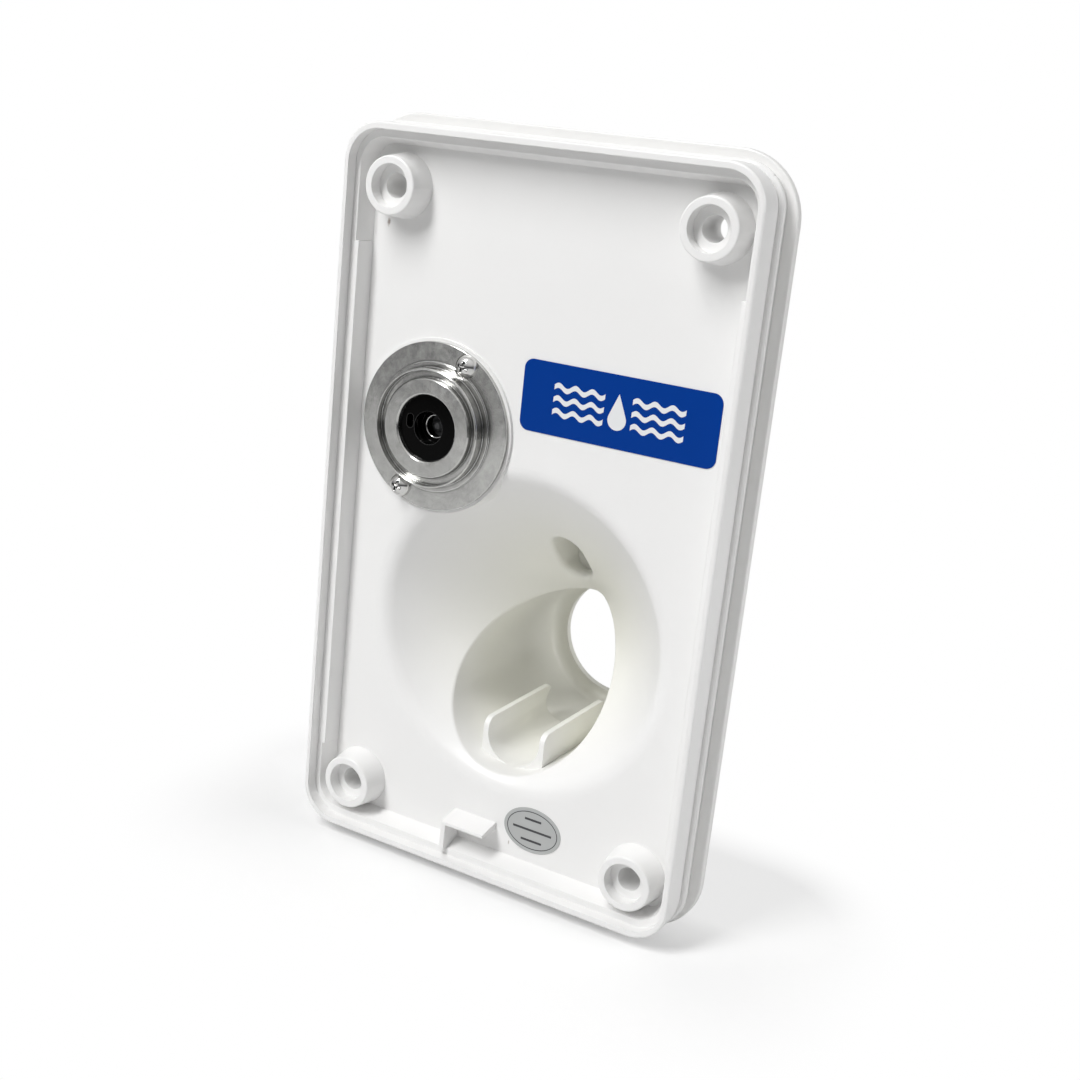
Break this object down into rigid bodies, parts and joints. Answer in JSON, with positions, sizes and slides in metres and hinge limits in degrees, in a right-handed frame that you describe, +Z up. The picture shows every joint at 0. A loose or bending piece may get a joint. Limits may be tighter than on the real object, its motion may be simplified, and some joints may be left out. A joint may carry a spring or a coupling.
{
  "type": "water inlet housing",
  "caption": "Recessed wall-mounted water filling inlet housing with a screwed metal socket, a deep dish and a cable tube below it.",
  "frame": {"origin": "middle of the four wall screw holes, in the plane of the wall", "axes": "+Z up, +X to the right as seen from outside, +Y into the wall"},
  "size_m": [0.1142, 0.0755, 0.1888],
  "materials": {
    "white_moulding": "satin moulded",
    "black_plastic": "moulded",
    "grey_plastic": "moulded",
    "socket_metal": "satin turned",
    "screw_steel": "bright",
    "spring_steel": "drawn wire",
    "brass": "turned",
    "seal_rubber": "moulded",
    "blue_label": "printed film",
    "silver_label": "metallised film"
  },
  "bodies": {
    "socket": {"housing": "white_moulding", "wall_gasket": "seal_rubber", "socket_body": "socket_metal", "socket_insert": "black_plastic", "socket_gasket": "seal_rubber", "socket_screw_upper": "screw_steel", "socket_screw_lower": "screw_steel", "valve_spring": "spring_steel", "spring_guide": "grey_plastic", "guide_ring": "grey_plastic", "tail_washer": "seal_rubber", "hose_tail": "brass", "union_nut": "brass", "water_label": "blue_label", "oval_label": "silver_label"},
    "valve": {"valve_poppet": "grey_plastic", "poppet_seal": "seal_rubber"}
  },
  "joints": [
    {"name": "valve_slide", "type": "slide", "parent": "socket", "child": "valve", "axis": [0, 1, 0], "range_m": [0, 0.0035], "stiffness_N_per_m": 250, "springref_m": -0.003, "deforming": ["valve_spring"]}
  ]
}
